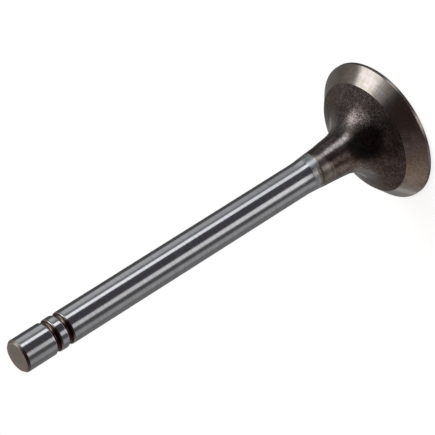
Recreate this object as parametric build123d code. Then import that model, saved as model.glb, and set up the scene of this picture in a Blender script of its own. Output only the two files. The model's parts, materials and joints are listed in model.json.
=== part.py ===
from build123d import *
import math
import os

# Poppet valve of a heavy diesel engine: one forged, turned and ground piece.
# Frame: millimetres, +Z up along the stem, origin at the centre of the combustion face.
# The valve stands on that face, head down, with its tip at the top.

# --- driving dimensions ---------------------------------------------------------------
OVERALL_LENGTH = 128.4          # combustion face to tip face

# head
HEAD_DIAMETER = 41.3            # over the margin
MARGIN_HEIGHT = 1.1             # cylindrical band between the face and the seat
SEAT_ANGLE = 45.0               # degrees from the plane of the face
SEAT_WIDTH = 5.65               # along the ground cone
FACE_EDGE_BREAK = 0.25          # chamfer at the rim of the combustion face
SEAT_EDGE_BREAK = 0.18          # round at the inner edge of the seat

# underside of the head and the neck
UNDERSIDE_ANGLE = 23.0          # degrees from the plane of the face
FILLET_RADIUS = 12.0            # sweep from the underside into the neck
NECK_ANGLE = 6.2                # half angle of the forged neck, degrees
BAND_START = 21.5               # height where a turned band takes over from the forging
BAND_ANGLE = 3.7                # half angle of the turned band, degrees
GRINDING_END = 24.7             # height where grinding and plating stop
SHOULDER = 0.05                 # how far the turned band stands above the ground cone there

# stem
STEM_DIAMETER = 9.45            # ground and plated
RUNOUT_START = 29.7             # height where the parallel stem ends
RUNOUT_ANGLE = 4.6              # half angle of the ground run-out cone, degrees
RUNOUT_BLEND_RADIUS = 40.0      # blend between the stem and the run-out cone

# keeper grooves, counted from the tip
GROOVE_COUNT = 2
FIRST_GROOVE_FROM_TIP = 10.45   # tip face to the middle of the first groove
GROOVE_PITCH = 4.0              # middle to middle
GROOVE_WIDTH = 1.3              # across the mouth, before its lips are rounded
GROOVE_DEPTH = 0.8              # radial
GROOVE_LIP_ROUND = 0.5          # round that widens the mouth at each lip

# tip
TIP_CHAMFER_LENGTH = 0.68       # along the axis
TIP_CHAMFER_DEPTH = 0.56        # radial
TIP_EDGE_BREAK = 0.10           # round at both edges of the chamfer

# A round takes at most this share of the shorter straight beside it.
ROUND_LIMIT = 0.9


def cosine(degrees):
    return math.cos(math.radians(degrees))


def sine(degrees):
    return math.sin(math.radians(degrees))


def tangent(degrees):
    return math.tan(math.radians(degrees))


def rim_corners():
    """Face centre, face rim, margin and seat cone, as (radius, height) with a round."""
    rim = HEAD_DIAMETER / 2
    return [
        ((0.0, 0.0), 0.0),
        ((rim - FACE_EDGE_BREAK, 0.0), 0.0),
        ((rim, FACE_EDGE_BREAK), 0.0),
        ((rim, MARGIN_HEIGHT), 0.0),
        (seat_inner_edge(), SEAT_EDGE_BREAK),
    ]


def seat_inner_edge():
    """Inner, upper edge of the ground seat cone."""
    radius = HEAD_DIAMETER / 2 - SEAT_WIDTH * cosine(SEAT_ANGLE)
    height = MARGIN_HEIGHT + SEAT_WIDTH * sine(SEAT_ANGLE)
    return radius, height


def grinding_edge_radius():
    """Radius of the ground run-out cone at the height where grinding stops."""
    return STEM_DIAMETER / 2 + (RUNOUT_START - GRINDING_END) * tangent(RUNOUT_ANGLE)


def neck_corners():
    """Underside, forged neck, turned band and run-out cone, from the head up to the stem."""
    seat_radius, seat_height = seat_inner_edge()
    ground_radius = grinding_edge_radius()
    shoulder_radius = ground_radius + SHOULDER
    band_radius = shoulder_radius + (GRINDING_END - BAND_START) * tangent(BAND_ANGLE)
    rise = tangent(UNDERSIDE_ANGLE)
    taper = tangent(NECK_ANGLE)
    corner_height = (
        seat_height + rise * (seat_radius - band_radius - taper * BAND_START)
    ) / (1 - rise * taper)
    corner_radius = band_radius + taper * (BAND_START - corner_height)
    return [
        ((corner_radius, corner_height), FILLET_RADIUS),
        ((band_radius, BAND_START), 0.0),
        ((shoulder_radius, GRINDING_END), 0.0),
        ((ground_radius, GRINDING_END), 0.0),
        ((STEM_DIAMETER / 2, RUNOUT_START), RUNOUT_BLEND_RADIUS),
    ]


def tip_corners():
    """Parallel stem up to the chamfered tip, and back to the axis."""
    stem = STEM_DIAMETER / 2
    return [
        ((stem, OVERALL_LENGTH - TIP_CHAMFER_LENGTH), TIP_EDGE_BREAK),
        ((stem - TIP_CHAMFER_DEPTH, OVERALL_LENGTH), TIP_EDGE_BREAK),
        ((0.0, OVERALL_LENGTH), 0.0),
    ]


def limited_round(before, corner, after, wanted):
    """The wanted radius at a corner, or as much of it as the straights beside it hold."""
    into = Vector(*corner) - Vector(*before)
    out_of = Vector(*after) - Vector(*corner)
    turn = into.get_angle(out_of)
    run = min(into.length, out_of.length)
    return min(wanted, ROUND_LIMIT * run / tangent(turn / 2))


def blank_section():
    """Half section of the valve before its grooves are cut, in its own flat plane."""
    corners = rim_corners() + neck_corners() + tip_corners()
    points = [point for point, _ in corners]
    with BuildSketch() as section:
        with BuildLine():
            Polyline(*points, close=True)
        make_face()
        for index, (point, wanted) in enumerate(corners):
            if wanted == 0.0:
                continue
            radius = limited_round(points[index - 1], point, points[index + 1], wanted)
            nearest = section.vertices().sort_by_distance(point)[0]
            fillet(nearest, radius)
    return section.sketch


def groove_heights():
    """Middle height of each keeper groove, from the tip down."""
    first = OVERALL_LENGTH - FIRST_GROOVE_FROM_TIP
    return [first - index * GROOVE_PITCH for index in range(GROOVE_COUNT)]


def grooved_section():
    """Half section of the finished valve, in the XZ plane."""
    stem = STEM_DIAMETER / 2
    half_mouth = GROOVE_WIDTH / 2
    cutter_radius = (half_mouth**2 + GROOVE_DEPTH**2) / (2 * GROOVE_DEPTH)
    cutter_centre = stem - GROOVE_DEPTH + cutter_radius
    with BuildSketch(Plane.XZ) as section:
        add(blank_section())
        for height in groove_heights():
            with Locations((cutter_centre, height)):
                Circle(cutter_radius, mode=Mode.SUBTRACT)
            for lip in ((stem, height - half_mouth), (stem, height + half_mouth)):
                nearest = section.vertices().sort_by_distance(lip)[0]
                fillet(nearest, GROOVE_LIP_ROUND)
    return section.sketch


def make_valve():
    """The whole valve as one solid."""
    return revolve(grooved_section(), Axis.Z).solids()[0]


engine_valve = make_valve()
os.makedirs("parts", exist_ok=True)
export_step(engine_valve, "parts/engine_valve.step")
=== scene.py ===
import json
import math

import bpy
from mathutils import Matrix, Vector


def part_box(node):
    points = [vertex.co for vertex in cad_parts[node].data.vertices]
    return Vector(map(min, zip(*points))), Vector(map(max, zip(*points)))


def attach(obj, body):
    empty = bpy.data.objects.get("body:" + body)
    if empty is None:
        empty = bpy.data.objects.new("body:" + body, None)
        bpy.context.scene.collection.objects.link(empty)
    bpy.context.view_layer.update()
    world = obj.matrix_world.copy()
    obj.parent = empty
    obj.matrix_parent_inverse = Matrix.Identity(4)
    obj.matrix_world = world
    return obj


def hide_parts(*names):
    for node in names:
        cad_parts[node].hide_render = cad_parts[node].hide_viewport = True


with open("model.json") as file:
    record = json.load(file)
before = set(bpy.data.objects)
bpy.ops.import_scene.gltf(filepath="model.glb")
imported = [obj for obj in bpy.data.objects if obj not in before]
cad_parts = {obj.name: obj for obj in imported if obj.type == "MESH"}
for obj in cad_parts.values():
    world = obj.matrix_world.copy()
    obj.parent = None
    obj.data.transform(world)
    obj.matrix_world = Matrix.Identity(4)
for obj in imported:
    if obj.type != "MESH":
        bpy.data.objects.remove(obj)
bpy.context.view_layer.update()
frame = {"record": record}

# Poppet valve: its whole surface and the finish of each part of it, in metres, in the row frame.
# The valve stands on its combustion face at z = 0 with its tip up, and its axis is Z.
# Angles round the axis start at -Y and rise towards +X.
MM = 0.001

# --- driving dimensions ---
NODE = "engine_valve"
NODE_LOW, NODE_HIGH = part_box(NODE)
MOUNTS = {mount["name"]: mount for mount in frame["record"]["mounts"]}
LENGTH = NODE_HIGH.z - NODE_LOW.z
HEAD_RADIUS = NODE_HIGH.x
STEM_RADIUS = MOUNTS["stem"]["dims"]["r_mm"] * MM

MARGIN_HEIGHT = 1.1 * MM
SEAT_ANGLE = math.radians(45.0)
SEAT_WIDTH = 5.65 * MM
FACE_EDGE_BREAK = 0.25 * MM
MARGIN_EDGE_BREAK = 0.12 * MM
SEAT_EDGE_BREAK = 0.18 * MM

UNDERSIDE_ANGLE = math.radians(23.0)
FILLET_RADIUS = 12.0 * MM
NECK_ANGLE = math.radians(6.2)
BAND_START = 21.5 * MM
BAND_ANGLE = math.radians(3.7)
GRINDING_END = 24.7 * MM
SHOULDER = 0.05 * MM
SHOULDER_RUN = 0.12 * MM        # length of the shoulder's slope along the axis

RUNOUT_START = 29.7 * MM
RUNOUT_ANGLE = math.radians(4.6)
RUNOUT_BLEND_RADIUS = 40.0 * MM

GROOVES_FROM_TIP = (14.45 * MM, 10.45 * MM)
GROOVE_WIDTH = 1.3 * MM         # across the mouth, before its lips are rounded
GROOVE_DEPTH = 0.8 * MM
GROOVE_LIP_ROUND = 0.5 * MM
CHROME_REACH = 0.22 * MM        # depth to which the chrome wraps over a lip

TIP_CHAMFER_LENGTH = 0.68 * MM
TIP_CHAMFER_DEPTH = 0.56 * MM
TIP_EDGE_BREAK = 0.10 * MM

# --- how finely the turned outline and its sweep are divided ---
SEGMENTS = 360
ROUND_STEPS = 5
LIP_STEPS = 7
LONG_ARC_STEP = 0.3 * MM
STEM_STEP = 6.0 * MM
HOLD_LENGTH = 0.1 * MM
SEAT_STEP = 0.8 * MM
FACE_STEP = 3.0 * MM
FORGED_STEP = 0.3 * MM
SHOULDER_STEP = 0.12 * MM
MERGE_DISTANCE = 1e-7
SMOOTH_ANGLE = math.radians(35.0)

# --- shoulder of the turned band: how its ring leans and how far it stands off centre ---
LEAN_OFFSET = 0.04 * MM
LEAN_FRONT = 0.61 * MM
LEAN_SIDE = -0.35 * MM
LEAN_HOLD = 0.6 * MM            # half height round the shoulder that moves as one
LEAN_FADE = 3.3 * MM
OFF_CENTRE = 0.05 * MM
OFF_CENTRE_ANGLE = math.radians(-60.0)

# --- where the turning cleaned the neck below the shoulder, more on one side ---
TURNED_START = 24.4 * MM
TURNED_LEAN = 3.2 * MM
TURNED_MIDDLE = math.radians(-50.0)
TURNED_FADE = 0.6 * MM          # half height over which the turning fades out

# --- scale, pits and browning of the forging, by height and by side, and painted shade at the front of the neck ---
UNDERSIDE_TO_NECK = (8.7 * MM, 13.7 * MM)
NECK_TO_HIGH_NECK = (12.7 * MM, 16.7 * MM)
RED_THINS = (6.6 * MM, 8.6 * MM)
PITS_THIN = (7.6 * MM, 15.2 * MM)
BURNT_NEAR_BAND = (20.4 * MM, 22.4 * MM)
# one side of the high neck is darker, and its front is darkened with painted shade
DARK_SIDE_MIDDLE = math.radians(51.0)
FRONT_PAINTED_SHADE_MIDDLE = math.radians(-11.0)
BROWNED_SPAN = (math.radians(-70.0), math.radians(0.0))
BROWNED_FADE = math.radians(24.0)

# --- side of the keeper grooves where their oxide is painted lighter, as painted light ---
GROOVE_PAINTED_LIGHT_MIDDLE = math.radians(40.0)

# --- where the polish of the stem ends, the tan oxide ring above the shoulder, and painted light on the satin haze ---
POLISH_END = 28.07 * MM
POLISH_LEAN = 0.2 * MM
POLISH_RAGGED = 0.16 * MM
POLISH_FADE = (0.22 * MM, -0.08 * MM)
OXIDE_END = 26.55 * MM
OXIDE_RAGGED = 0.6 * MM
OXIDE_FADE = (-0.1 * MM, 0.2 * MM)
OXIDE_SPAN = (math.radians(-68.0), math.radians(2.0))
OXIDE_SIDE_FADE = math.radians(14.0)
HAZE_PAINTED_SHADE_SPAN = (math.radians(18.0), math.radians(46.0))        # painted shade: the haze turns darker towards one side
HAZE_PAINTED_HIGHLIGHT_SPAN = (math.radians(-28.0), math.radians(6.0))      # painted highlight: the haze is palest here
HAZE_PAINTED_HIGHLIGHT_FADE = math.radians(16.0)

# --- straw heat tint beside the tip ---
STRAW_SPAN = (math.radians(-24.0), math.radians(86.0))
STRAW_FADE = math.radians(24.0)
STRAW_REACH = 2.4 * MM
STRAW_LEAST_REACH = 0.2 * MM

# --- tip face, dulled towards its chamfer ---
TIP_DULL_SPAN = (1.2 * MM, 3.9 * MM)
TIP_LINE_FADE = 0.12 * MM

# --- darker side of the ground seat, the margin lighter at its front with a painted highlight, and a dark line of painted shade along its lower edge ---
SEAT_DARKER_SIDE_MIDDLE = math.radians(95.0)
MARGIN_PAINTED_HIGHLIGHT_MIDDLE = math.radians(-8.0)
MARGIN_LINE_FADE = 0.05 * MM
# height and fade of the painted shade line along the lower edge of the margin
RIM_SHADE_HEIGHT = 0.40 * MM
RIM_SHADE_FADE = 0.06 * MM

# --- hazy stain on one side of the ground seat, where its inner edge wanders inwards ---
STAIN_SPAN = (math.radians(-64.0), math.radians(-16.0))
STAIN_FADE = math.radians(34.0)
STAIN_RAGGED = math.radians(7.0)
STAIN_OCHRE_TO_PINK = (math.radians(-52.0), math.radians(-22.0))
SEAT_WANDER_MIDDLE = math.radians(-56.0)
SEAT_WANDER = 0.45 * MM
SEAT_WANDER_HALF = math.radians(54.0)
SEAT_WANDER_FADE = 3.0 * MM

# --- unevenness of the forging ---
UNEVEN_FADE = 1.5 * MM
WAVE_SIZE = 4.0 * MM
WAVE_HEIGHT = 0.06 * MM
DENT_SIZE = 0.9 * MM
DENT_HEIGHT = 0.02 * MM

# --- colours of the finishes; a pair is blended by a mottle ---
CHROME = ((0.53, 0.522, 0.548, 1.0), (0.575, 0.567, 0.585, 1.0))
CHROME_HAZE = ((0.50, 0.495, 0.50, 1.0), (0.72, 0.745, 0.785, 1.0))
TAN_OXIDE = (0.44, 0.39, 0.335, 1.0)
GROOVE_OXIDE = (0.078, 0.042, 0.050, 1.0)
GROOVE_WALL = (0.155, 0.118, 0.098, 1.0)
GROOVE_FLOOR = ((0.17, 0.138, 0.118, 1.0), (0.30, 0.258, 0.216, 1.0))
UNDERSIDE_SKIN = (0.155, 0.138, 0.134, 1.0)
UNDERSIDE_WORN = (0.225, 0.200, 0.192, 1.0)
NECK_SKIN = (0.36, 0.338, 0.328, 1.0)
NECK_WORN = (0.42, 0.397, 0.386, 1.0)
RED_SCALE = (0.17, 0.085, 0.075, 1.0)
TURNED_STEEL = (0.40, 0.352, 0.315, 1.0)
BROWNING = (1.12, 0.95, 0.89, 1.0)
# tint of the darker side of the high neck and of the painted shade at its front
NECK_SIDE_AND_SHADE_TINT = (0.36, 0.31, 0.30, 1.0)
SEAT_STEEL = ((0.46, 0.432, 0.385, 1.0), (0.45, 0.412, 0.412, 1.0))
SEAT_OCHRE = ((0.84, 0.70, 0.53, 1.0), (0.90, 0.775, 0.735, 1.0))
SEAT_PINK = (0.97, 0.80, 0.82, 1.0)
MARGIN_STEEL = (0.34, 0.300, 0.290, 1.0)
# painted shade: the dark line along the lower edge of the margin
RIM_PAINTED_SHADE = (0.125, 0.112, 0.110, 1.0)
FACE_STEEL = ((0.36, 0.34, 0.32, 1.0), (0.46, 0.44, 0.42, 1.0))
TIP_MIDDLE = (0.58, 0.590, 0.548, 1.0)
TIP_RIM = (0.65, 0.600, 0.588, 1.0)
TIP_CHAMFER = (0.30, 0.282, 0.264, 1.0)
HEAT_STRAW = (1.0, 0.84, 0.60, 1.0)
HEAT_BROWN = (0.56, 0.38, 0.26, 1.0)

# --- studio ---
FLOOR_RADIUS = 2.0
FLOOR_PAPER = (0.85, 0.85, 0.85, 1.0)
FLOOR_WHITENESS = 0.82          # glow to the camera, which brings the lit paper to white
CAMERA_PLACE = Vector((0.0, -646.53, 408.46)) * MM
CAMERA_AIM = Vector((3.02, 0.0, 57.71)) * MM
CAMERA_ROLL = math.radians(-122.15)
CAMERA_LENS = 228.24            # millimetres, on a sensor 36 mm wide


# ---------------------------------------------------------------- node helpers
def feed(tree, socket, value):
    """Links an input to an output, or gives it a value."""
    if isinstance(value, bpy.types.NodeSocket):
        tree.links.new(value, socket)
    else:
        socket.default_value = value


def put(tree, kind, inputs=None, **settings):
    """Adds a node, sets its properties and fills its inputs with values or links."""
    made = tree.nodes.new(kind)
    for name, value in settings.items():
        setattr(made, name, value)
    for name, value in (inputs or {}).items():
        feed(tree, made.inputs[name], value)
    return made


def maths(tree, operation, first, second=0.0, third=0.0):
    """Result of a maths node."""
    inputs = {0: first, 1: second, 2: third}
    return put(tree, "ShaderNodeMath", inputs, operation=operation).outputs[0]


def between(tree, value, start, end, low=0.0, high=1.0):
    """Smooth step of a value from low at start to high at end."""
    inputs = {"Value": value, "From Min": start, "From Max": end, "To Min": low, "To Max": high}
    return put(tree, "ShaderNodeMapRange", inputs, interpolation_type="SMOOTHSTEP").outputs[0]


def window(tree, value, start, end, fade):
    """Mask of 1 from start to end of a value, fading out over a distance at both."""
    rise = between(tree, value, start - fade / 2, start + fade / 2)
    fall = between(tree, value, end + fade / 2, end - fade / 2)
    return maths(tree, "MULTIPLY", rise, fall)


def blended(tree, share, first, second, blend_type="MIX"):
    """Second colour over the first by a share."""
    made = put(tree, "ShaderNodeMix", data_type="RGBA", blend_type=blend_type)
    feed(tree, made.inputs[0], share)
    feed(tree, made.inputs[6], first)
    feed(tree, made.inputs[7], second)
    return made.outputs[2]


def tinted(tree, colour, tint):
    """Colour multiplied by a tint."""
    return blended(tree, 1.0, colour, tint, "MULTIPLY")


def scaled(tree, colour, factor):
    """Colour made lighter or darker by a factor."""
    if not isinstance(colour, bpy.types.NodeSocket):
        colour = colour[:3]
    inputs = {0: colour, "Scale": factor}
    return put(tree, "ShaderNodeVectorMath", inputs, operation="SCALE").outputs[0]


def new_group(name, inputs, outputs):
    """Empty shader group with named sockets, as (group, its inputs, its output node)."""
    group = bpy.data.node_groups.new(name, "ShaderNodeTree")
    for socket, kind, value in inputs:
        made = group.interface.new_socket(socket, in_out="INPUT", socket_type=kind)
        if value is not None:
            made.default_value = value
    for socket, kind in outputs:
        group.interface.new_socket(socket, in_out="OUTPUT", socket_type=kind)
    return group, group.nodes.new("NodeGroupInput").outputs, group.nodes.new("NodeGroupOutput")


def place_group(tree, group, inputs=None):
    """Places a shader group in a tree and returns its outputs."""
    made = tree.nodes.new("ShaderNodeGroup")
    made.node_tree = group
    for name, value in (inputs or {}).items():
        feed(tree, made.inputs[name], value)
    return made.outputs


NUMBER, COLOUR, VECTOR = "NodeSocketFloat", "NodeSocketColor", "NodeSocketVector"


# ---------------------------------------------------------------- shared shader groups
def axis_place_group():
    """Height, radius and direction round the valve's axis of a point on it."""
    group, _, out = new_group(
        "axis_place", [], [("Height", NUMBER), ("Radius", NUMBER), ("Angle", NUMBER), ("Point", VECTOR)]
    )
    point = put(group, "ShaderNodeTexCoord").outputs["Object"]
    parts = put(group, "ShaderNodeSeparateXYZ", {0: point}).outputs
    flat = put(group, "ShaderNodeCombineXYZ", {"X": parts["X"], "Y": parts["Y"]}).outputs[0]
    radius = put(group, "ShaderNodeVectorMath", {0: flat}, operation="LENGTH").outputs["Value"]
    angle = maths(group, "ARCTAN2", parts["X"], maths(group, "MULTIPLY", parts["Y"], -1.0))
    for name, value in (("Height", parts["Z"]), ("Radius", radius), ("Angle", angle), ("Point", point)):
        group.links.new(value, out.inputs[name])
    return group


def turning_marks_group():
    """Fine uneven rings left by a tool or a wheel, along a height or a radius."""
    group, given, out = new_group(
        "turning_marks",
        [
            ("Along", NUMBER, 0.0),
            ("Angle", NUMBER, 0.0),
            ("Pitch", NUMBER, 0.1 * MM),
            ("Round", NUMBER, 0.6),
        ],
        [("Height", NUMBER), ("Mask", NUMBER)],
    )
    lines = maths(group, "DIVIDE", given["Along"], given["Pitch"])
    place = put(
        group,
        "ShaderNodeCombineXYZ",
        {
            "X": maths(group, "MULTIPLY", maths(group, "COSINE", given["Angle"]), given["Round"]),
            "Y": maths(group, "MULTIPLY", maths(group, "SINE", given["Angle"]), given["Round"]),
            "Z": lines,
        },
    ).outputs[0]
    noise = put(
        group, "ShaderNodeTexNoise", {"Vector": place, "Scale": 1.0, "Detail": 2.0, "Roughness": 0.6}
    ).outputs["Fac"]
    height = maths(group, "MULTIPLY", maths(group, "SUBTRACT", noise, 0.5), given["Pitch"])
    group.links.new(height, out.inputs["Height"])
    group.links.new(noise, out.inputs["Mask"])
    return group


def mottle_group():
    """Soft cloudy patches between 0 and 1, as handling and heat leave on steel."""
    group, given, out = new_group(
        "mottle",
        [("Point", VECTOR, None), ("Size", NUMBER, 3.0 * MM), ("Contrast", NUMBER, 1.0)],
        [("Mask", NUMBER)],
    )
    scale = maths(group, "DIVIDE", 1.0, given["Size"])
    noise = put(
        group,
        "ShaderNodeTexNoise",
        {"Vector": given["Point"], "Scale": scale, "Detail": 3.0, "Roughness": 0.55},
    ).outputs["Fac"]
    spread = maths(group, "MULTIPLY", maths(group, "SUBTRACT", noise, 0.5), given["Contrast"])
    mask = put(group, "ShaderNodeClamp", {"Value": maths(group, "ADD", spread, 0.5)}).outputs[0]
    group.links.new(mask, out.inputs["Mask"])
    return group


def grain_group():
    """Blasted forging skin: close pits and grains, with their height in metres."""
    group, given, out = new_group(
        "forging_grain",
        [("Point", VECTOR, None), ("Size", NUMBER, 0.3 * MM), ("Depth", NUMBER, 0.01 * MM)],
        [("Height", NUMBER), ("Mask", NUMBER)],
    )
    scale = maths(group, "DIVIDE", 1.0, given["Size"])
    noise = put(
        group,
        "ShaderNodeTexNoise",
        {"Vector": given["Point"], "Scale": scale, "Detail": 2.5, "Roughness": 0.65},
    ).outputs["Fac"]
    cells = put(
        group,
        "ShaderNodeTexVoronoi",
        {"Vector": given["Point"], "Scale": scale},
        feature="SMOOTH_F1",
    ).outputs["Distance"]
    mask = maths(group, "ADD", maths(group, "MULTIPLY", noise, 0.65), maths(group, "MULTIPLY", cells, 0.35))
    height = maths(group, "MULTIPLY", mask, given["Depth"])
    group.links.new(height, out.inputs["Height"])
    group.links.new(mask, out.inputs["Mask"])
    return group


def heat_tint_group():
    """Steel colour turned straw and then brown by a share of heat."""
    group, given, out = new_group(
        "heat_tint",
        [("Steel", COLOUR, None), ("Heat", NUMBER, 0.0)],
        [("Color", COLOUR)],
    )
    straw = tinted(group, given["Steel"], HEAT_STRAW)
    brown = tinted(group, given["Steel"], HEAT_BROWN)
    light = between(group, given["Heat"], 0.0, 0.55)
    deep = between(group, given["Heat"], 0.45, 1.0)
    colour = blended(group, deep, blended(group, light, given["Steel"], straw), brown)
    group.links.new(colour, out.inputs["Color"])
    return group


AXIS_PLACE = axis_place_group()
TURNING_MARKS = turning_marks_group()
MOTTLE = mottle_group()
GRAIN = grain_group()
HEAT_TINT = heat_tint_group()


def turning_marks(tree, place, pitch, along="Height", round_axis=0.6):
    """Rings of a pitch along a height or a radius, which change with round_axis round the axis."""
    inputs = {"Along": place[along], "Angle": place["Angle"], "Pitch": pitch, "Round": round_axis}
    return place_group(tree, TURNING_MARKS, inputs)


def mottle(tree, place, size, contrast):
    """Mask of cloudy patches of a size."""
    inputs = {"Point": place["Point"], "Size": size, "Contrast": contrast}
    return place_group(tree, MOTTLE, inputs)["Mask"]


def facing(tree, place, middle):
    """Cosine of the turn round the axis from a middle direction, so 1 there and -1 opposite."""
    return maths(tree, "COSINE", maths(tree, "SUBTRACT", place["Angle"], middle))


# ---------------------------------------------------------------- materials
def new_steel(name):
    """Bare metal material, as (material, its tree, its Principled shader)."""
    material = bpy.data.materials.new(name)
    material.use_nodes = True
    tree = material.node_tree
    steel = tree.nodes["Principled BSDF"]
    steel.inputs["Metallic"].default_value = 1.0
    return material, tree, steel


def add_bump(tree, steel, height, strength=1.0):
    """Feeds a height in metres to the shader's normal."""
    bump = put(tree, "ShaderNodeBump", {"Height": height, "Strength": strength, "Distance": 1.0})
    tree.links.new(bump.outputs[0], steel.inputs["Normal"])


def chromed_stem():
    """Hard chrome, ground and polished, satin and tan near the shoulder and straw at the tip."""
    material, tree, steel = new_steel("chromed_stem")
    place = place_group(tree, AXIS_PLACE)
    marks = turning_marks(tree, place, 0.12 * MM)
    lines = turning_marks(tree, place, 0.5 * MM)["Mask"]
    smudge = mottle(tree, place, 6.0 * MM, 1.6)
    clouds = mottle(tree, place, 1.4 * MM, 3.0)

    lean = maths(tree, "SINE", place["Angle"])
    polish_end = maths(tree, "MULTIPLY_ADD", lean, -POLISH_LEAN, POLISH_END)
    above_end = maths(tree, "SUBTRACT", place["Height"], polish_end)
    ragged_end = maths(tree, "MULTIPLY_ADD", clouds, POLISH_RAGGED, above_end)
    satin = between(tree, ragged_end, *POLISH_FADE)
    oxide_end = maths(tree, "MULTIPLY_ADD", clouds, -OXIDE_RAGGED, OXIDE_END + OXIDE_RAGGED / 2)
    below_oxide_end = maths(tree, "SUBTRACT", oxide_end, place["Height"])
    oxide_side = window(tree, place["Angle"], *OXIDE_SPAN, OXIDE_SIDE_FADE)
    oxide = maths(tree, "MULTIPLY", oxide_side, between(tree, below_oxide_end, *OXIDE_FADE))

    polish = maths(tree, "MULTIPLY_ADD", smudge, 0.05, 0.105)
    hazy = maths(tree, "MULTIPLY", satin, maths(tree, "MULTIPLY_ADD", clouds, 0.10, 0.13))
    roughness = maths(tree, "ADD", polish, hazy)
    tree.links.new(maths(tree, "MULTIPLY_ADD", oxide, 0.08, roughness), steel.inputs["Roughness"])
    bright = maths(tree, "MULTIPLY", satin, maths(tree, "MULTIPLY_ADD", clouds, -0.20, -0.06))
    tree.links.new(maths(tree, "ADD", bright, 1.0), steel.inputs["Metallic"])

    chrome = blended(tree, smudge, *CHROME)
    chrome = scaled(tree, chrome, between(tree, lines, 0.25, 0.75, 0.92, 1.08))
    haze = blended(tree, clouds, *CHROME_HAZE)
    haze_and_painted_light = scaled(tree, haze, between(tree, lines, 0.3, 0.7, 0.90, 1.08))
    # Painted shade and painted highlight on the haze: darker towards one side, palest where it faces the
    # front.
    haze_and_painted_light = scaled(tree, haze_and_painted_light, between(tree, place["Angle"], *HAZE_PAINTED_SHADE_SPAN, 1.12, 0.74))
    front = window(tree, place["Angle"], *HAZE_PAINTED_HIGHLIGHT_SPAN, HAZE_PAINTED_HIGHLIGHT_FADE)
    haze_and_painted_light = scaled(tree, haze_and_painted_light, maths(tree, "MULTIPLY_ADD", front, 0.25, 1.0))
    chrome = blended(tree, satin, chrome, haze_and_painted_light)
    ringed = scaled(tree, TAN_OXIDE, between(tree, lines, 0.38, 0.60, 0.50, 1.25))
    chrome = blended(tree, oxide, chrome, ringed)
    straw_reach = mottle(tree, place, 2.5 * MM, 2.0)
    heat_start = maths(tree, "MULTIPLY_ADD", straw_reach, -STRAW_REACH, LENGTH - STRAW_LEAST_REACH)
    heat_side = window(tree, place["Angle"], *STRAW_SPAN, STRAW_FADE)
    heat = between(tree, place["Height"], heat_start, LENGTH, 0.0, 0.5)
    heat = maths(tree, "MULTIPLY", heat_side, heat)
    tint = place_group(tree, HEAT_TINT, {"Steel": chrome, "Heat": heat})["Color"]
    tree.links.new(tint, steel.inputs["Base Color"])
    add_bump(tree, steel, marks["Height"], 0.02)
    return material


def keeper_groove():
    """Turned groove with a dark brown oxide, painted lighter on one side with painted light."""
    material, tree, steel = new_steel("keeper_groove")
    place = place_group(tree, AXIS_PLACE)
    marks = turning_marks(tree, place, 0.2 * MM)
    patches = mottle(tree, place, 1.5 * MM, 1.4)
    oxide = blended(tree, patches, *GROOVE_FLOOR)
    depth = maths(tree, "SUBTRACT", STEM_RADIUS, place["Radius"])
    floor = between(tree, depth, GROOVE_DEPTH * 0.80, GROOVE_DEPTH * 0.99)
    # Painted light: the oxide is lighter on one side of the grooves, darkest on the rest.
    lit_side_oxide = blended(tree, floor, GROOVE_WALL, scaled(tree, oxide, 1.8))
    lighter_tone = between(tree, facing(tree, place, GROOVE_PAINTED_LIGHT_MIDDLE), 0.78, 0.97)
    colour = blended(tree, lighter_tone, GROOVE_OXIDE, lit_side_oxide)
    tree.links.new(colour, steel.inputs["Base Color"])
    tree.links.new(maths(tree, "MULTIPLY_ADD", patches, 0.08, 0.26), steel.inputs["Roughness"])
    add_bump(tree, steel, marks["Height"], 0.12)
    return material


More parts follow.
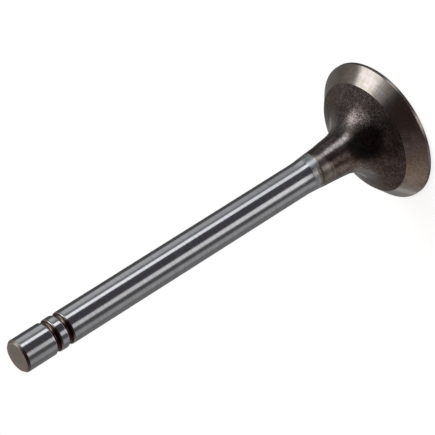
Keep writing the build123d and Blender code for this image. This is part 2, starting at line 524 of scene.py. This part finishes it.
def forged_skin():
    """Blasted brown-grey forging of the neck and the underside, turned below the shoulder."""
    material, tree, steel = new_steel("forged_skin")
    place = place_group(tree, AXIS_PLACE)
    grain = place_group(tree, GRAIN, {"Point": place["Point"], "Size": 0.38 * MM, "Depth": 0.04 * MM})
    patches = mottle(tree, place, 4.0 * MM, 2.2)
    red_specks = mottle(tree, place, 0.9 * MM, 3.0)
    red_patches = mottle(tree, place, 3.0 * MM, 3.4)
    scale_spots = mottle(tree, place, 1.1 * MM, 4.0)
    marks = turning_marks(tree, place, 0.4 * MM)

    turned_side = facing(tree, place, TURNED_MIDDLE)
    band_edge = maths(tree, "MULTIPLY_ADD", turned_side, -TURNED_LEAN, TURNED_START)
    above_edge = maths(tree, "SUBTRACT", place["Height"], band_edge)
    turned_band = between(tree, above_edge, -TURNED_FADE, TURNED_FADE)
    on_neck = between(tree, place["Height"], *UNDERSIDE_TO_NECK)
    high_neck = between(tree, place["Height"], *NECK_TO_HIGH_NECK)
    # Painted shade darkens the front of the high neck; one side of it is darker as well.
    dark_front = between(tree, facing(tree, place, FRONT_PAINTED_SHADE_MIDDLE), 0.93, 0.985, 0.0, 0.55)
    dark_side = between(tree, facing(tree, place, DARK_SIDE_MIDDLE), 0.945, 0.995)
    darker_side_and_painted_shade = maths(tree, "MULTIPLY", high_neck, maths(tree, "MAXIMUM", dark_side, dark_front))

    skin = blended(tree, on_neck, UNDERSIDE_SKIN, NECK_SKIN)
    lighter_tone = blended(tree, on_neck, UNDERSIDE_WORN, NECK_WORN)
    skin = blended(tree, patches, skin, lighter_tone)
    redness = between(tree, place["Height"], *RED_THINS, 0.24, 0.16)
    red = maths(tree, "MULTIPLY", maths(tree, "MULTIPLY_ADD", red_patches, 0.60, red_specks), redness)
    skin = blended(tree, red, skin, RED_SCALE)
    pit_shade = between(tree, place["Height"], *PITS_THIN, 0.38, 0.78)
    grain_shade = between(tree, place["Height"], *PITS_THIN, 1.32, 1.18)
    dark_pits = between(tree, grain["Mask"], 0.36, 0.57, pit_shade, grain_shade)
    dark_pits = maths(tree, "MULTIPLY", dark_pits, between(tree, scale_spots, 0.1, 0.8, 0.74, 1.08))
    burnt = between(tree, place["Height"], *BURNT_NEAR_BAND, 1.0, 0.66)
    skin = scaled(tree, skin, maths(tree, "MULTIPLY", dark_pits, burnt))
    brown_side = window(tree, place["Angle"], *BROWNED_SPAN, BROWNED_FADE)
    browned = tinted(tree, skin, BROWNING)
    skin = blended(tree, maths(tree, "MULTIPLY", high_neck, brown_side), skin, browned)
    ringed = scaled(tree, TURNED_STEEL, between(tree, marks["Mask"], 0.3, 0.65, 0.75, 1.15))
    skin = blended(tree, turned_band, skin, ringed)
    off_band = maths(tree, "SUBTRACT", 1.0, turned_band)
    darkened = tinted(tree, skin, NECK_SIDE_AND_SHADE_TINT)
    skin = blended(tree, maths(tree, "MULTIPLY", darker_side_and_painted_shade, off_band), skin, darkened)
    tree.links.new(skin, steel.inputs["Base Color"])
    roughness = maths(tree, "MULTIPLY_ADD", grain["Mask"], 0.10, 0.17)
    roughness = maths(tree, "MULTIPLY_ADD", turned_band, 0.08, roughness)
    tree.links.new(roughness, steel.inputs["Roughness"])
    smoother = maths(tree, "MULTIPLY_ADD", on_neck, -0.72, 1.0)
    depth = maths(tree, "MULTIPLY", smoother, maths(tree, "MULTIPLY_ADD", turned_band, -0.8, 1.0))
    skin_height = maths(tree, "MULTIPLY", grain["Height"], depth)
    rings = maths(tree, "MULTIPLY", marks["Height"], maths(tree, "MULTIPLY", turned_band, 0.1))
    add_bump(tree, steel, maths(tree, "ADD", skin_height, rings), 1.0)
    return material


def ground_seat():
    """Ground seat and margin: warm steel with straw clouds, brush strokes and a hazy tan stain."""
    material, tree, steel = new_steel("ground_seat")
    place = place_group(tree, AXIS_PLACE)
    marks = turning_marks(tree, place, 0.12 * MM)
    rings = turning_marks(tree, place, 0.4 * MM, round_axis=2.5)["Mask"]
    strokes = turning_marks(tree, place, 3.0 * MM, round_axis=32.0)["Mask"]
    clouds = mottle(tree, place, 3.5 * MM, 2.6)
    specks = mottle(tree, place, 0.7 * MM, 2.4)
    blotches = mottle(tree, place, 2.2 * MM, 4.0)

    margin_line = (MARGIN_HEIGHT + MARGIN_LINE_FADE, MARGIN_HEIGHT - MARGIN_LINE_FADE)
    on_margin = between(tree, place["Height"], *margin_line)
    ragged = maths(tree, "MULTIPLY_ADD", blotches, STAIN_RAGGED, place["Angle"])
    stain = window(tree, ragged, *STAIN_SPAN, STAIN_FADE)
    stain = maths(tree, "MULTIPLY", stain, maths(tree, "SUBTRACT", 1.0, on_margin))
    # One side of the seat is darker.
    dull = between(tree, facing(tree, place, SEAT_DARKER_SIDE_MIDDLE), 0.70, 0.90, 1.0, 0.76)

    bare = blended(tree, blotches, *SEAT_STEEL)
    bare = scaled(tree, bare, maths(tree, "MULTIPLY", dull, between(tree, blotches, 0.0, 1.0, 0.90, 1.08)))
    # Painted highlight: the margin is lighter round its front.
    margin_highlight_turn = facing(tree, place, MARGIN_PAINTED_HIGHLIGHT_MIDDLE)
    margin = scaled(tree, MARGIN_STEEL, between(tree, margin_highlight_turn, 0.88, 0.55, 1.0, 0.62))
    bare = blended(tree, on_margin, bare, margin)
    # Painted shade: a dark line along the lower edge of the margin.
    rim_shade_span = (RIM_SHADE_HEIGHT + RIM_SHADE_FADE, RIM_SHADE_HEIGHT - RIM_SHADE_FADE)
    bare = blended(tree, between(tree, place["Height"], *rim_shade_span), bare, RIM_PAINTED_SHADE)
    ochre = blended(tree, blotches, *SEAT_OCHRE)
    stained = blended(tree, between(tree, place["Angle"], *STAIN_OCHRE_TO_PINK), ochre, SEAT_PINK)
    bare = blended(tree, stain, bare, scaled(tree, stained, between(tree, specks, 0.2, 0.8, 1.12, 0.84)))
    worked = maths(tree, "MULTIPLY_ADD", strokes, 0.28, maths(tree, "MULTIPLY", rings, 0.22))
    bare = scaled(tree, bare, between(tree, worked, 0.12, 0.38, 0.84, 1.14))
    heat = maths(tree, "MULTIPLY", clouds, maths(tree, "MULTIPLY_ADD", specks, 0.26, 0.04))
    tint = place_group(tree, HEAT_TINT, {"Steel": bare, "Heat": heat})["Color"]
    tree.links.new(tint, steel.inputs["Base Color"])
    polish = maths(tree, "MULTIPLY_ADD", specks, 0.05, 0.155)
    polish = maths(tree, "MULTIPLY_ADD", stain, 0.20, polish)
    tree.links.new(maths(tree, "MULTIPLY_ADD", on_margin, 0.06, polish), steel.inputs["Roughness"])
    tree.links.new(maths(tree, "MULTIPLY_ADD", stain, -0.22, 0.93), steel.inputs["Metallic"])
    add_bump(tree, steel, marks["Height"], 0.04)
    return material


def turned_face():
    """Combustion face with the rings of facing."""
    material, tree, steel = new_steel("turned_face")
    place = place_group(tree, AXIS_PLACE)
    marks = turning_marks(tree, place, 0.25 * MM, along="Radius")
    clouds = mottle(tree, place, 6.0 * MM, 1.6)
    colour = blended(tree, clouds, *FACE_STEEL)
    tree.links.new(colour, steel.inputs["Base Color"])
    tree.links.new(maths(tree, "MULTIPLY_ADD", marks["Mask"], 0.15, 0.25), steel.inputs["Roughness"])
    add_bump(tree, steel, marks["Height"], 0.12)
    return material


def tip_steel():
    """Ground tip face and its chamfer, dulled and browned by hardening."""
    material, tree, steel = new_steel("tip_steel")
    place = place_group(tree, AXIS_PLACE)
    marks = turning_marks(tree, place, 0.5 * MM, along="Radius")
    grain = place_group(tree, GRAIN, {"Point": place["Point"], "Size": 0.35 * MM, "Depth": 0.03 * MM})
    patches = mottle(tree, place, 1.5 * MM, 1.6)
    on_chamfer = between(tree, place["Height"], LENGTH, LENGTH - TIP_LINE_FADE)
    dull = blended(tree, between(tree, place["Radius"], *TIP_DULL_SPAN), TIP_MIDDLE, TIP_RIM)
    dull = scaled(tree, dull, between(tree, patches, 0.1, 0.9, 0.93, 1.08))
    dull = scaled(tree, dull, between(tree, marks["Mask"], 0.3, 0.7, 0.92, 1.06))
    dull = scaled(tree, dull, between(tree, grain["Mask"], 0.30, 0.60, 0.82, 1.10))
    dull = blended(tree, on_chamfer, dull, TIP_CHAMFER)
    heat = maths(tree, "MULTIPLY", on_chamfer, maths(tree, "MULTIPLY", patches, 0.22))
    colour = place_group(tree, HEAT_TINT, {"Steel": dull, "Heat": heat})["Color"]
    tree.links.new(colour, steel.inputs["Base Color"])
    tree.links.new(maths(tree, "MULTIPLY_ADD", on_chamfer, -0.03, 0.42), steel.inputs["Roughness"])
    rings = maths(tree, "MULTIPLY", marks["Height"], 0.08)
    add_bump(tree, steel, maths(tree, "ADD", grain["Height"], rings), 1.0)
    return material


# ---------------------------------------------------------------- outline of the valve
def turned(start, direction, angle):
    """Point reached from start by turning a direction through an angle."""
    return start + Matrix.Rotation(angle, 2) @ direction


def rounded(before, corner, after, radius, steps):
    """Points of the arc that rounds a corner between two straights."""
    into = (corner - before).normalized()
    out_of = (after - corner).normalized()
    side = math.copysign(1.0, into.x * out_of.y - into.y * out_of.x)
    turn = into.angle(out_of)
    start = corner - into * radius * math.tan(turn / 2)
    to_centre = Vector((-into.y, into.x)) * side * radius
    centre = start + to_centre
    return [turned(centre, -to_centre, side * turn * k / steps) for k in range(steps + 1)]


def straight(start, end, step):
    """Points after start that divide a straight into equal steps, up to its end."""
    count = max(1, math.ceil((end - start).length / step))
    return [start.lerp(end, (k + 1) / count) for k in range(count)]


def held_straight(start, end, step):
    """Straight with a short piece at both ends, which keeps its shading true beside roundings."""
    hold = (end - start).normalized() * HOLD_LENGTH
    return [start + hold] + straight(start + hold, end - hold, step) + [end]


def seat_inner_edge():
    """Inner, upper edge of the ground seat cone."""
    return Vector((
        HEAD_RADIUS - SEAT_WIDTH * math.cos(SEAT_ANGLE),
        MARGIN_HEIGHT + SEAT_WIDTH * math.sin(SEAT_ANGLE),
    ))


def runout_radius(height):
    """Radius of the ground run-out cone at a height."""
    return STEM_RADIUS + (RUNOUT_START - height) * math.tan(RUNOUT_ANGLE)


def band_radius(height):
    """Radius of the turned band below the shoulder at a height."""
    return runout_radius(GRINDING_END) + SHOULDER + (GRINDING_END - height) * math.tan(BAND_ANGLE)


def neck_corner():
    """Where the straight neck and the straight underside would meet."""
    seat = seat_inner_edge()
    rise = math.tan(UNDERSIDE_ANGLE)
    taper = math.tan(NECK_ANGLE)
    start_radius = band_radius(BAND_START)
    height = (seat.y + rise * (seat.x - start_radius - taper * BAND_START)) / (1 - rise * taper)
    return Vector((start_radius + taper * (BAND_START - height), height))


def arc(centre, start, turn_from, turn_to, steps):
    """Points round a centre, from one turn of a start direction to another."""
    turns = [turn_from + (turn_to - turn_from) * k / steps for k in range(steps + 1)]
    return [turned(centre, start, turn) for turn in turns]


def groove_outline(height):
    """Keeper groove whose round lips run into its round bottom, from its lower lip to its upper one."""
    bottom_radius = ((GROOVE_WIDTH / 2) ** 2 + GROOVE_DEPTH**2) / (2 * GROOVE_DEPTH)
    bottom_centre = Vector((STEM_RADIUS - GROOVE_DEPTH + bottom_radius, height))
    lip_centre = Vector((STEM_RADIUS - GROOVE_LIP_ROUND, height))
    between_centres = bottom_radius + GROOVE_LIP_ROUND
    slope = math.acos((bottom_centre.x - lip_centre.x) / between_centres)
    to_lip = Vector((0.0, between_centres * math.sin(slope)))
    outward = Vector((GROOVE_LIP_ROUND, 0.0))
    inward = Vector((-bottom_radius, 0.0))
    lower_lip = arc(lip_centre - to_lip, outward, 0.0, slope, LIP_STEPS)
    bottom = arc(bottom_centre, inward, slope, -slope, 2 * ROUND_STEPS)
    upper_lip = arc(lip_centre + to_lip, outward, -slope, 0.0, LIP_STEPS)
    return lower_lip + bottom[1:] + upper_lip[1:]


def valve_outline():
    """Half section of the whole valve, from the face centre round to the tip centre."""
    seat = seat_inner_edge()
    corner = neck_corner()
    band_low = Vector((band_radius(BAND_START), BAND_START))
    shoulder_low = Vector((band_radius(GRINDING_END), GRINDING_END - SHOULDER_RUN))
    shoulder_high = Vector((runout_radius(GRINDING_END), GRINDING_END))
    runout_top = Vector((STEM_RADIUS, RUNOUT_START))
    margin_top = Vector((HEAD_RADIUS, MARGIN_HEIGHT))
    chamfer_low = Vector((STEM_RADIUS, LENGTH - TIP_CHAMFER_LENGTH))
    chamfer_high = Vector((STEM_RADIUS - TIP_CHAMFER_DEPTH, LENGTH))

    points = [Vector((0.0, 0.0))]
    points += straight(points[-1], Vector((HEAD_RADIUS - FACE_EDGE_BREAK, 0.0)), FACE_STEP)
    points += straight(points[-1], Vector((HEAD_RADIUS, FACE_EDGE_BREAK)), FACE_EDGE_BREAK)
    points += rounded(Vector((HEAD_RADIUS, 0.0)), margin_top, seat, MARGIN_EDGE_BREAK, ROUND_STEPS)
    edge = rounded(margin_top, seat, corner, SEAT_EDGE_BREAK, ROUND_STEPS)
    points += straight(points[-1], edge[0], SEAT_STEP) + edge[1:]
    sweep_steps = math.ceil(FILLET_RADIUS / LONG_ARC_STEP)
    sweep = rounded(seat, corner, band_low, FILLET_RADIUS, sweep_steps)
    points += straight(points[-1], sweep[0], FORGED_STEP) + sweep[1:]
    points += straight(points[-1], band_low, FORGED_STEP)
    points += straight(points[-1], shoulder_low, SHOULDER_STEP)
    points += straight(points[-1], shoulder_high, SHOULDER_STEP)
    stem_low = Vector((STEM_RADIUS, LENGTH / 2))
    blend = rounded(shoulder_high, runout_top, stem_low, RUNOUT_BLEND_RADIUS, 3 * ROUND_STEPS)
    points += straight(points[-1], blend[0], SHOULDER_STEP) + blend[1:]
    for from_tip in GROOVES_FROM_TIP:
        groove = groove_outline(LENGTH - from_tip)
        points += held_straight(points[-1], groove[0], STEM_STEP) + groove[1:]
    chamfer = rounded(points[-1], chamfer_low, chamfer_high, TIP_EDGE_BREAK, ROUND_STEPS)
    points += held_straight(points[-1], chamfer[0], STEM_STEP) + chamfer[1:]
    axis_top = Vector((0.0, LENGTH))
    points += rounded(chamfer_low, chamfer_high, axis_top, TIP_EDGE_BREAK, ROUND_STEPS)
    points += straight(points[-1], axis_top, FACE_STEP)
    return points


# ---------------------------------------------------------------- modelling the valve
def turned_valve(outline):
    """Draws the outline from one vertex by extruding it, and turns it round the axis."""
    bpy.ops.object.select_all(action="DESELECT")
    bpy.ops.mesh.primitive_plane_add(size=MM, location=(0.0, 0.0, 0.0))
    valve = bpy.context.object
    valve.name = "valve"
    bpy.ops.object.mode_set(mode="EDIT")
    bpy.ops.mesh.select_mode(type="VERT")
    bpy.ops.mesh.select_all(action="SELECT")
    bpy.ops.mesh.merge(type="CENTER")
    for start, end in zip(outline, outline[1:]):
        step = end - start
        bpy.ops.mesh.extrude_region_move(
            TRANSFORM_OT_translate={"value": (step.x, 0.0, step.y)}
        )
    bpy.ops.object.mode_set(mode="OBJECT")
    screw = valve.modifiers.new("turning", "SCREW")
    screw.steps = SEGMENTS
    screw.render_steps = SEGMENTS
    screw.use_merge_vertices = True
    screw.merge_threshold = MERGE_DISTANCE
    bpy.ops.object.modifier_apply(modifier=screw.name)
    bpy.ops.object.mode_set(mode="EDIT")
    bpy.ops.mesh.select_all(action="SELECT")
    bpy.ops.mesh.remove_doubles(threshold=MERGE_DISTANCE)
    bpy.ops.mesh.normals_make_consistent(inside=False)
    bpy.ops.object.mode_set(mode="OBJECT")
    return valve


def smooth_share(value, start, end):
    """Smooth step of a value, 0 at start and 1 at end."""
    share = min(max((value - start) / (end - start), 0.0), 1.0)
    return share * share * (3.0 - 2.0 * share)


def lean_shoulder(valve):
    """Slides the shoulder along the neck so that its ring leans, as grinding by hand leaves it."""
    for vertex in valve.data.vertices:
        place = vertex.co
        below = smooth_share(place.z, GRINDING_END - LEAN_FADE, GRINDING_END - LEAN_HOLD)
        above = smooth_share(place.z, GRINDING_END + LEAN_FADE, GRINDING_END + LEAN_HOLD)
        share = min(below, above)
        if share == 0.0:
            continue
        angle = math.atan2(place.x, -place.y)
        slide = share * (LEAN_OFFSET + LEAN_FRONT * math.cos(angle) + LEAN_SIDE * math.sin(angle))
        on_band = place.z < GRINDING_END - SHOULDER_RUN / 2
        taper = BAND_ANGLE if on_band else RUNOUT_ANGLE
        radius = math.hypot(place.x, place.y)
        scale = (radius - slide * math.tan(taper)) / radius
        vertex.co = Vector((place.x * scale, place.y * scale, place.z + slide))


def set_band_off_centre(valve):
    """Moves the turned band a little off the axis, so that its shoulder is higher on one side."""
    shift = Vector((math.sin(OFF_CENTRE_ANGLE), -math.cos(OFF_CENTRE_ANGLE), 0.0)) * OFF_CENTRE
    start = BAND_START - LEAN_FADE
    for vertex in valve.data.vertices:
        place = vertex.co
        radius = math.hypot(place.x, place.y)
        if start < place.z < GRINDING_END - SHOULDER_RUN / 2 and radius < HEAD_RADIUS / 2:
            vertex.co = place + shift * smooth_share(place.z, start, BAND_START)


def wander_seat_edge(valve):
    """Slides the seat's inner edge up its cone on one side, where the grinding ran further in."""
    edge = seat_inner_edge()
    slide = Vector((-math.cos(SEAT_ANGLE), math.sin(SEAT_ANGLE))) * SEAT_WANDER
    for vertex in valve.data.vertices:
        place = vertex.co
        radius = math.hypot(place.x, place.y)
        distance = (Vector((radius, place.z)) - edge).length
        if distance > SEAT_WANDER_FADE or place.z < MARGIN_HEIGHT:
            continue
        angle = math.atan2(place.x, -place.y)
        side = smooth_share(abs(angle - SEAT_WANDER_MIDDLE), SEAT_WANDER_HALF, SEAT_WANDER_HALF / 3)
        share = side * smooth_share(distance, SEAT_WANDER_FADE, 0.0)
        scale = (radius + slide.x * share) / radius
        vertex.co = Vector((place.x * scale, place.y * scale, place.z + slide.y * share))


def roughen_forging(valve):
    """Gives the forged surfaces real unevenness, fading out at the machined ones."""
    group = valve.vertex_groups.new(name="forged")
    low = seat_inner_edge().y
    for vertex in valve.data.vertices:
        from_seat = smooth_share(vertex.co.z, low, low + UNEVEN_FADE)
        from_grinding = smooth_share(vertex.co.z, BAND_START + UNEVEN_FADE, BAND_START - UNEVEN_FADE)
        group.add([vertex.index], min(from_seat, from_grinding), "REPLACE")
    unevenness = {"forging_waves": (WAVE_SIZE, WAVE_HEIGHT), "forging_dents": (DENT_SIZE, DENT_HEIGHT)}
    for name, (size, height) in unevenness.items():
        texture = bpy.data.textures.new(name, "CLOUDS")
        texture.noise_scale = size
        texture.noise_depth = 1
        displace = valve.modifiers.new(name, "DISPLACE")
        displace.texture = texture
        displace.texture_coords = "LOCAL"
        displace.vertex_group = "forged"
        displace.mid_level = 0.5
        displace.strength = height
        bpy.ops.object.modifier_apply(modifier=name)
    valve.vertex_groups.clear()


def surface_of(centre):
    """Finish of the face whose middle is at a place."""
    radius = math.hypot(centre.x, centre.y)
    seat = seat_inner_edge()
    if centre.z < FACE_EDGE_BREAK / 4:
        return "turned_face"
    if centre.z < seat.y and radius > seat.x:
        return "ground_seat"
    if centre.z < GRINDING_END - SHOULDER_RUN / 2:
        return "forged_skin"
    if centre.z > LENGTH - TIP_CHAMFER_LENGTH:
        return "tip_steel"
    if radius < STEM_RADIUS - CHROME_REACH and centre.z > LENGTH / 2:
        return "keeper_groove"
    return "chromed_stem"


def finish_surfaces(valve, materials):
    """Gives each face the material of its surface."""
    names = [material.name for material in materials]
    for material in materials:
        valve.data.materials.append(material)
    for face in valve.data.polygons:
        face.material_index = names.index(surface_of(face.center))


valve = turned_valve(valve_outline())
finish_surfaces(
    valve,
    [turned_face(), ground_seat(), forged_skin(), chromed_stem(), keeper_groove(), tip_steel()],
)
set_band_off_centre(valve)
lean_shoulder(valve)
wander_seat_edge(valve)
roughen_forging(valve)
bpy.ops.object.shade_smooth_by_angle(angle=SMOOTH_ANGLE)
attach(valve, "root")
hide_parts(NODE)

# ---------------------------------------------------------------- studio
def card_group():
    """Mask of a studio card round a middle azimuth and between two elevations, in degrees."""
    group, given, out = new_group(
        "studio_card",
        [
            ("Azimuth", NUMBER, 0.0),
            ("Elevation", NUMBER, 0.0),
            ("Middle", NUMBER, 0.0),
            ("Half width", NUMBER, 10.0),
            ("Bottom", NUMBER, 0.0),
            ("Top", NUMBER, 10.0),
            ("Side blur", NUMBER, 2.0),
            ("End blur", NUMBER, 2.0),
        ],
        [("Mask", NUMBER)],
    )

    def edge(distance, blur):
        half_blur = maths(group, "MULTIPLY", blur, 0.5)
        start = maths(group, "MULTIPLY", half_blur, -1.0)
        return between(group, distance, start, half_blur)

    turn = maths(group, "SUBTRACT", given["Azimuth"], given["Middle"])
    wrapped = maths(group, "ABSOLUTE", maths(group, "WRAP", turn, 180.0, -180.0))
    side = edge(maths(group, "SUBTRACT", given["Half width"], wrapped), given["Side blur"])
    bottom = edge(maths(group, "SUBTRACT", given["Elevation"], given["Bottom"]), given["End blur"])
    top = edge(maths(group, "SUBTRACT", given["Top"], given["Elevation"]), given["End blur"])
    mask = maths(group, "MULTIPLY", side, maths(group, "MULTIPLY", bottom, top))
    group.links.new(mask, out.inputs["Mask"])
    return group


def grey(level, tint=(1.0, 1.0, 1.0)):
    """Colour of a brightness with a slight tint."""
    return (*(level * share for share in tint), 1.0)


# Tints of the cards.
BLUE = (0.97, 0.94, 1.09)
GREEN = (0.97, 1.01, 1.02)
WARM = (1.12, 0.95, 0.86)
RED = (1.17, 0.91, 0.85)
CREAM = (1.03, 1.0, 0.96)
COOL = (0.97, 1.0, 1.03)
BROWN = (1.42, 0.74, 0.62)
PINK = (1.12, 0.92, 1.0)

# Cards round the valve: azimuths from and to, elevations from and to, side and end blur, colour.
# Azimuths start at -Y and rise towards +X. A later card lies over the earlier ones.
CARDS = {
    "table": ((-180, 180), (-90, -48), (1, 4), grey(0.33, PINK)),
    "back_wall": ((105, 262), (0, 56), (50, 26), grey(0.23, WARM)),
    "ceiling": ((70, 290), (56, 100), (60, 30), grey(0.09, WARM)),
    "right_ceiling": ((85, 175), (30, 72), (50, 30), grey(0.20)),
    "left_sweep": ((-150, -80), (-26, 4), (50, 26), grey(0.235, WARM)),
    "far_left_sweep": ((-172, -124), (-22, 6), (36, 20), grey(0.35)),
    "left_gleam": ((-152, -143), (-7, 5), (7, 8), grey(0.58)),
    "right_sweep": ((78, 160), (-26, 8), (30, 20), grey(0.115)),
    "far_right_sweep": ((134, 168), (-20, 9), (26, 14), grey(0.22, CREAM)),
    "back_gleam": ((139, 159), (22, 38), (14, 16), grey(0.40)),
    "back_sweep": ((158, 200), (-26, -2), (40, 20), grey(0.22)),
    "rear_strip": ((171, 189), (-20, -10), (5, 3), grey(0.6)),
    "front_ceiling": ((-80, 30), (40, 62), (40, 14), grey(0.022, BROWN)),
    "floor_bounce": ((-180, 180), (-48, -22), (1, 5), grey(0.21)),
    "left_backdrop": ((-196, -176), (-48, -23), (32, 6), grey(0.45)),
    "left_glow": ((-97, -66), (-48, -22), (16, 5), grey(0.40)),
    "low_front": ((-110, -14), (-21.5, -12), (36, 4), grey(0.145, WARM)),
    "left_shade": ((-61, -38), (-48, -22), (10, 3), grey(0.10)),
    "fill_strip": ((-34, -12), (-48, -22.6), (11, 1), grey(0.86)),
    "fill_foot": ((-36, -13), (-48, -28.5), (11, 5), grey(1.02)),
    "fill_end": ((-44, 0), (-48, -32.5), (17, 2), grey(1.9, CREAM)),
    "dark_front": ((-8, 42), (-22, -10), (14, 4), grey(0.05, RED)),
    "dark_card": ((-9, 39), (-48, -22), (3, 2), grey(0.075, BLUE)),
    "strip_light": ((38.5, 57), (-48, -21), (3, 2), grey(1.47, COOL)),
    "strip_top": ((37, 65), (-21, 8), (16, 2), grey(1.32)),
    "strip_foot": ((37, 60), (-48, -28.5), (4, 6), grey(1.08, COOL)),
    "right_glow": ((74, 111), (-48, -21.6), (18, 2), grey(0.61, GREEN)),
    "glow_foot": ((70, 118), (-48, -29), (18, 8), grey(0.34, GREEN)),
    "right_shade": ((112, 168), (-48, -22), (10, 3), grey(0.095)),
    "glow_end": ((58, 165), (-48, -32.5), (20, 2), grey(0.13)),
    "dark_end": ((-6, 36), (-48, -32.5), (4, 2), grey(0.14)),
    "halo_edge": ((40, 72), (10, 38), (22, 16), grey(0.24, WARM)),
    "softbox_halo": ((60, 118), (8, 50), (50, 30), grey(0.38, CREAM)),
    "softbox_spill": ((62, 124), (42, 66), (64, 18), grey(0.85, CREAM)),
    "softbox": ((73, 107), (22, 49), (5, 5), grey(2.05)),
}
DARK_ROOM = grey(0.012)


def studio_world():
    """Soft boxes and cards in a dark room, white to the camera."""
    world = bpy.data.worlds.new("studio")
    world.use_nodes = True
    tree = world.node_tree
    tree.nodes.clear()
    group = card_group()
    direction = put(tree, "ShaderNodeTexCoord").outputs["Generated"]
    parts = put(tree, "ShaderNodeSeparateXYZ", {0: direction}).outputs
    round_axis = maths(tree, "ARCTAN2", parts["X"], maths(tree, "MULTIPLY", parts["Y"], -1.0))
    azimuth = maths(tree, "DEGREES", round_axis)
    elevation = maths(tree, "DEGREES", maths(tree, "ARCSINE", parts["Z"]))
    light = DARK_ROOM
    for azimuths, elevations, blur, colour in CARDS.values():
        mask = place_group(
            tree,
            group,
            {
                "Azimuth": azimuth,
                "Elevation": elevation,
                "Middle": (azimuths[0] + azimuths[1]) / 2,
                "Half width": (azimuths[1] - azimuths[0]) / 2,
                "Bottom": elevations[0],
                "Top": elevations[1],
                "Side blur": blur[0],
                "End blur": blur[1],
            },
        )["Mask"]
        light = blended(tree, mask, light, colour)
    to_camera = put(tree, "ShaderNodeLightPath").outputs["Is Camera Ray"]
    seen = blended(tree, to_camera, light, (1.0, 1.0, 1.0, 1.0))
    background = put(tree, "ShaderNodeBackground", {"Color": seen})
    put(tree, "ShaderNodeOutputWorld", {"Surface": background.outputs[0]})
    bpy.context.scene.world = world


def floor_paper():
    """White paper that keeps a faint shadow."""
    material = bpy.data.materials.new("floor_paper")
    material.use_nodes = True
    tree = material.node_tree
    tree.nodes.clear()
    paper = put(tree, "ShaderNodeBsdfDiffuse", {"Color": FLOOR_PAPER})
    to_camera = put(tree, "ShaderNodeLightPath").outputs["Is Camera Ray"]
    whiteness = maths(tree, "MULTIPLY", to_camera, FLOOR_WHITENESS)
    glow = put(tree, "ShaderNodeEmission", {"Strength": whiteness})
    both = put(tree, "ShaderNodeAddShader", {0: paper.outputs[0], 1: glow.outputs[0]})
    put(tree, "ShaderNodeOutputMaterial", {"Surface": both.outputs[0]})
    return material


def add_floor():
    """Round floor that only the camera sees, so that the metal reflects the studio's cards."""
    bpy.ops.object.select_all(action="DESELECT")
    bpy.ops.mesh.primitive_circle_add(
        vertices=64, radius=FLOOR_RADIUS, fill_type="NGON", location=(0.0, 0.0, 0.0)
    )
    floor = bpy.context.object
    floor.name = "floor"
    floor.data.materials.append(floor_paper())
    floor.visible_diffuse = False
    floor.visible_glossy = False
    floor.visible_transmission = False
    floor.visible_shadow = False


# ---------------------------------------------------------------- camera
def add_camera():
    """Long lens above the tip, rolled so that the stem lies across the picture."""
    data = bpy.data.cameras.new("camera")
    data.lens = CAMERA_LENS
    data.clip_start = 10 * MM
    camera = bpy.data.objects.new("camera", data)
    bpy.context.scene.collection.objects.link(camera)
    look = (CAMERA_AIM - CAMERA_PLACE).to_track_quat("-Z", "Y").to_matrix()
    roll = Matrix.Rotation(CAMERA_ROLL, 3, "Z")
    camera.matrix_world = Matrix.Translation(CAMERA_PLACE) @ (look @ roll).to_4x4()
    bpy.context.scene.camera = camera


studio_world()
add_floor()
add_camera()
bpy.context.scene.view_settings.view_transform = "Standard"
